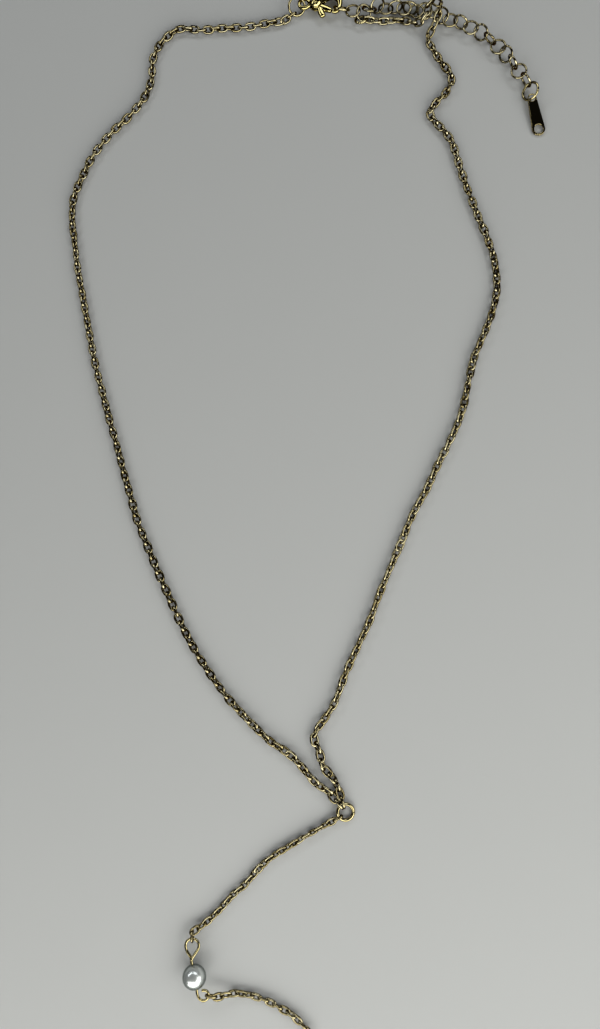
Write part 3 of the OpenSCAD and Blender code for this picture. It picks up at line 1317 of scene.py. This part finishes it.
    def build_lever(self) -> bpy.types.Mesh:
        """Casts the lever: its root about the pin, its arm to the hook's tip, and the thumb tab.

        Returns:
            The mesh, in metres and in place.
        """
        root = self.disc(self.root_radius, self.root_thickness)
        hole = self.disc(self.pivot_radius + self.root_play, 2 * self.root_thickness)
        arms = [self.cast(self.arm, square=2.6), self.cast(self.tab, square=2.4, ends=End.ROUND)]
        return self.fused("clasp_thumb_lever", [root, *arms], [hole])

    def build_pin(self) -> Shape:
        """Makes the pin, sunk slightly at both ends."""
        height = self.thickness - 2 * self.pivot_sunk
        return self.disc(self.pivot_radius, height, sides=32, steps=8).placed(self.place)

    def dress(self, material: bpy.types.Material) -> None:
        """Builds the clasp's three pieces and puts them in the scene.

        Args:
            material: their finish.
        """
        add_piece("clasp_hook", self.build_body(), material, Body.NECKLACE, ["clasp_body"])
        add_piece("clasp_thumb_lever", self.build_lever(), material, Body.LEVER, ["clasp_lever"])
        pin = self.build_pin().mesh("clasp_pivot")
        add_piece("clasp_pivot", pin, material, Body.NECKLACE, ["clasp_pin"])


# Studio


@dataclass(frozen=True)
class Softbox:
    """A square or oblong panel of soft light."""

    name: str
    place: tuple[float, float, float]
    aim: tuple[float, float, float]
    size: tuple[float, float]
    radiance: float
    colour: Colour


@dataclass
class Studio:
    """The floor, the camera and the lights."""

    right: tuple[float, float, float] = (0.99504, 0.0144, -0.09846)
    up: tuple[float, float, float] = (0.0, 0.98947, 0.14473)
    back: tuple[float, float, float] = (0.0995, -0.14401, 0.98456)
    lens: float = 27.99
    sensor_height: float = 36.0
    floor_half: float = 1.5
    room_low: Colour = (0.05, 0.05, 0.051)
    room_high: Colour = (0.005, 0.005, 0.005)
    room_top: float = 0.7
    boxes: Sequence[Softbox] = (
        Softbox("light_near", (0, -0.36, 0.20), (0, -0.08, 0), (0.60, 0.32), 3.05, (1, 1, 0.965)),
        Softbox("light_right", (0.36, -0.16, 0.26), (0, -0.06, 0), (0.44, 0.34), 2.58, (1, 1, 0.965)),
        Softbox("light_far", (0.14, 0.44, 0.40), (0, 0.02, 0), (0.44, 0.15), 3.4, (0.95, 0.98, 1)),
        Softbox("light_left", (-0.33, 0.26, 0.33), (0, 0, 0), (0.46, 0.10), 3.4, (0.95, 0.98, 1)),
    )

    def build_camera(self) -> None:
        """Sets the camera where the photograph was taken from."""
        data = bpy.data.cameras.new("camera")
        data.sensor_fit, data.sensor_height, data.lens = "VERTICAL", self.sensor_height, self.lens
        data.clip_start, data.clip_end = 0.005, 20.0
        camera = bpy.data.objects.new("camera", data)
        bpy.context.scene.collection.objects.link(camera)
        rows = np.column_stack([self.right, self.up, self.back, np.array(VIEWPOINT) * MM])
        camera.matrix_world = Matrix([*rows.tolist(), [0, 0, 0, 1]])
        bpy.context.scene.camera = camera

    def build_lights(self) -> None:
        """Hangs the softboxes."""
        for box in self.boxes:
            data = bpy.data.lights.new(box.name, "AREA")
            data.shape, data.size, data.size_y = "RECTANGLE", *box.size
            data.energy = box.radiance * box.size[0] * box.size[1] * math.pi
            data.color = box.colour
            light = bpy.data.objects.new(box.name, data)
            bpy.context.scene.collection.objects.link(light)
            light.location = box.place
            light.rotation_euler = (Vector(box.aim) - Vector(box.place)).to_track_quat("-Z", "Y").to_euler()
            light.visible_camera = False

    def build_room(self) -> None:
        """Sets the dim room around the lights, darker overhead."""
        world = bpy.data.worlds.new("room")
        bpy.context.scene.world = world
        world.use_nodes = True
        tree = Tree(world.node_tree)
        way = tree.add("TexCoord").outputs["Generated"]
        height = tree.add("SeparateXYZ", {"Vector": way}).outputs["Z"]
        share = tree.ramp(height, 0.0, self.room_top)
        colour = tree.mix(share, (*self.room_low, 1), (*self.room_high, 1))
        tree.fill(world.node_tree.nodes["Background"], {"Color": colour, "Strength": 1.0})

    def build_floor(self) -> None:
        """Lays the pale floor."""
        h = self.floor_half
        mesh = bpy.data.meshes.new("floor")
        mesh.from_pydata([(-h, -h, 0), (h, -h, 0), (h, h, 0), (-h, h, 0)], [], [(0, 1, 2, 3)])
        mesh.materials.append(FloorFinish().material())
        floor = bpy.data.objects.new("floor", mesh)
        bpy.context.scene.collection.objects.link(floor)

    def build(self) -> None:
        """Builds the whole studio."""
        self.build_floor()
        self.build_camera()
        self.build_lights()
        self.build_room()
        bpy.context.scene.view_settings.view_transform = "Standard"


# The necklace


@dataclass
class Necklace:
    """The whole necklace as it lies, with the routes of its chains."""

    left_route: Sequence[Station] = (
        (-4.5, 113.6), (-8, 113.2), (-14, 112.5), (-20, 112.5), (-26, 112.5), (-30.5, 113), (-33.5, 111.5),
        (-36, 108.5), (-37.5, 104.5), (-37.5, 99.5), (-39.5, 94), (-43.5, 89), (-47.5, 85), (-51.5, 79.5),
        (-54, 74), (-56, 68), (-56, 62), (-55, 56), (-54, 50), (-52.5, 43.5), (-51, 37), (-49.5, 30.5),
        (-48, 24.5), (-46, 18), (-44, 11.5), (-42, 5.5), (-40, -1), (-38, -7), (-36, -13), (-33.5, -18.5),
        (-31, -24), (-28, -30), (-25, -36), (-21.5, -42), (-18, -47), (-14, -52), (-9.5, -56.5),
        (-4.5, -61), (0, -63.8), (2.4, -66), (4.4, -68.2), (5.9, -69.7), (7.4, -70.7), (8.7, -71.5),
    )
    right_route: Sequence[Station] = (
        (10.5, -70.3), (9.6, -68.6), (8.4, -67.3), (7.3, -66), (6.8, -64), (6.2, -62.3), (5.4, -60.4),
        (5.9, -58.6), (7.3, -56.6), (8.6, -54.7), (9.8, -52.6), (12.5, -45.5), (15, -40), (17.5, -34.5),
        (19.5, -29), (22, -23), (24.5, -17), (27, -11), (30, -5.5), (32.5, 0), (35.5, 6), (38, 12),
        (39.5, 18.5), (41, 25), (43.5, 31), (45.5, 36.5), (46.5, 42), (46, 48.5), (44.5, 54), (42.5, 59.5),
        (40.5, 65.5), (38.5, 72), (36.8, 78.3), (34.9, 81.6), (32.7, 84.2), (31.6, 86.6), (33.1, 89.2),
        (35.5, 91.8), (36.8, 94.7), (36.3, 97), (34.6, 99.4), (32.7, 102.9), (31.3, 106.2),
        (32.2, 108, 1.8), (33.2, 109.5, 3.1), (33.9, 111.2, 3.85), (33.9, 112.7, 4.05), (32.6, 113.6, 4.1),
        (31.3, 112.6, 4.1), (30.9, 111, 3.85), (29.9, 110, 2.6), (28, 110.5, 1.4), (25.5, 111.5),
        (22.5, 111.8), (19.7, 111.8),
    )
    drop_upper_route: Sequence[Station] = (
        (9.2, -77.6), (6.9, -78.9), (1, -82.5), (-3.3, -85.2), (-6.2, -87.8), (-9, -91),
        (-11.8, -93.5), (-14.6, -96.6), (-17.2, -99), (-19, -100.3, 1.0), (-20.05, -101.0, 1.4),
    )
    drop_lower_route: Sequence[Station] = (
        (-14.2, -112.9, 2.5), (-12.4, -112.8, 1.5), (-10.2, -112.8), (-8, -112.9), (-5.6, -113.4),
        (-2.8, -114.3), (-0.9, -115.2), (1.2, -116.1), (2.7, -117.3), (4.2, -118.6), (4.9, -119.3),
    )

    def build(self) -> None:
        """Builds and dresses every piece, in the order in which they hold each other."""
        groups = Groups(plating_tone_group(), fine_scratches_group())
        # Each finish's flank colour is painted shade at the sides of the wire; its grime colour is dirt plus
        # painted shade.
        chain = PlatedFinish(
            "chain_plating", (0.58, 0.52, 0.32), (0.22, 0.16, 0.04), smoothest=0.1, roughest=0.3,
        ).material(groups)
        ring = PlatedFinish(
            "ring_plating", (0.68, 0.59, 0.31), (0.40, 0.31, 0.10), tarnish=0.4, roughest=0.22,
            flank_shade=(0.08, 0.055, 0.014), flank_shade_share=0.85,
        ).material(groups)
        polished = PlatedFinish(
            "clasp_plating", (0.70, 0.60, 0.25), (0.44, 0.34, 0.10), tarnish=0.3, roughest=0.17,
            patch_size=500.0, scratch_depth=0.05, flank_shade=(0.035, 0.023, 0.004), flank_shade_share=0.93,
        ).material(groups)
        mirror = PlatedFinish(
            "tag_plating", (0.62, 0.51, 0.25), (0.40, 0.31, 0.13), tarnish=0.25, smoothest=0.04,
            roughest=0.12, patch_size=350.0, scratch_depth=0.04,
        ).material(groups)
        pearl = PearlFinish().material(groups)

        clasp_place = move(0.9, 117.4, 1.6) @ turn(z=-17)
        y_place = move(12.3, -75.5, 0.69) @ turn(z=160) @ turn(y=-10.5)
        clasp_ring_place = move(-1, 116.8, 1.6) @ turn(z=17.5) @ turn(x=40)
        first_place = clasp_place @ move(9.5, 0.75, 0.08) @ turn(x=-45)
        joining_place = move(15, 112.55, 0.97) @ turn(z=14) @ turn(x=-24)
        end_place = move(55.2, 90.4, 1.6) @ turn(z=-81)
        tag_place = end_place @ move(1.855, 0, 0) @ turn(y=8.5, z=3)
        pearl_place = move(-19.1, -109.4, 2.5) @ turn(y=-6, z=-75)
        y_ring = WireRing("y_ring_wire", "y_ring", y_place, 0.76, 4.1, 200)
        clasp_ring = WireRing("clasp_jump_ring", "clasp_ring", clasp_ring_place, 0.58, 4.52, 110)
        first_ring = WireRing("extender_first_wire", "extender_first_ring", first_place, 0.6, 4.32, 150)
        joining = WireRing("joining_wire", "joining_ring", joining_place, 0.6, 3.42, 250)
        end_ring = WireRing("end_ring_wire", "end_ring", end_place @ turn(x=41.5), 0.58, 4.53, 60)
        pin = PearlPin("pearl_pin_wire", "pearl_pin", pearl_place, 0.57)
        for item in (y_ring, clasp_ring, first_ring, joining, end_ring, pin):
            item.dress(item.build(), ring)
        bead = PearlBead("pearl_bead", "pearl", pearl_place)
        bead.dress(bead.build(), pearl)

        left = CableChain(
            "left_chain_links", "chain_left", self.left_route,
            clasp_ring.hold_near((-1.9, 115.3, 0.6)), y_ring.hold_near((10.9, -73.97, 0.85)),
            ((0, 12), (0.3, 15), (0.35, 40), (0.45, 42), (0.5, 25), (0.6, 30), (0.75, 22), (0.86, 28),
             (0.89, 45), (1, 45)),
            settle=3.0, seed=21,
        )
        right = CableChain(
            "right_chain_links", "chain_right", self.right_route,
            y_ring.hold_near((11.75, -73.64, 0.8)), joining.hold_near((16.4, 112.05, 0.9)),
            ((0, 12), (0.06, 15), (0.09, 42), (0.58, 40), (0.62, 25), (0.85, 18), (1, 15)),
            seed=22,
        )
        upper = CableChain(
            "upper_drop_links", "drop_chain_upper", self.drop_upper_route,
            y_ring.hold_near((11.05, -76.6, 0.8)), pin.hold_near((-19.95, -102.17, 1.74)),
            ((0, 30), (0.5, 45), (1, 35)),
            width=1.78, wire=0.5, pitch=1.54, lying=0.739, wobble=14.0, seed=23,
        )
        lower = CableChain(
            "lower_drop_links", "drop_chain_lower", self.drop_lower_route,
            pin.hold_near((-15.88, -112.7, 2.94)), None,
            ((0, 20), (0.4, 18), (1, 22)),
            width=1.72, wire=0.5, pitch=1.62, lying=0.785, wobble=14.0, seed=24,
        )
        extender = ExtenderChain("extender_rings", "extender_chain", first_ring, end_ring, joining)
        for run in (left, right, upper, lower, extender):
            run.dress(run.build(), chain)
        tag = EndTag("end_tag", "tag", tag_place)
        tag.dress(tag.build(), mirror)
        LobsterClasp(clasp_place).dress(polished)


def main() -> None:
    """Builds the necklace and the studio."""
    logging.basicConfig(level=logging.INFO, format="%(name)s: %(message)s")
    Necklace().build()
    Studio().build()


if __name__ == "__main__":
    main()
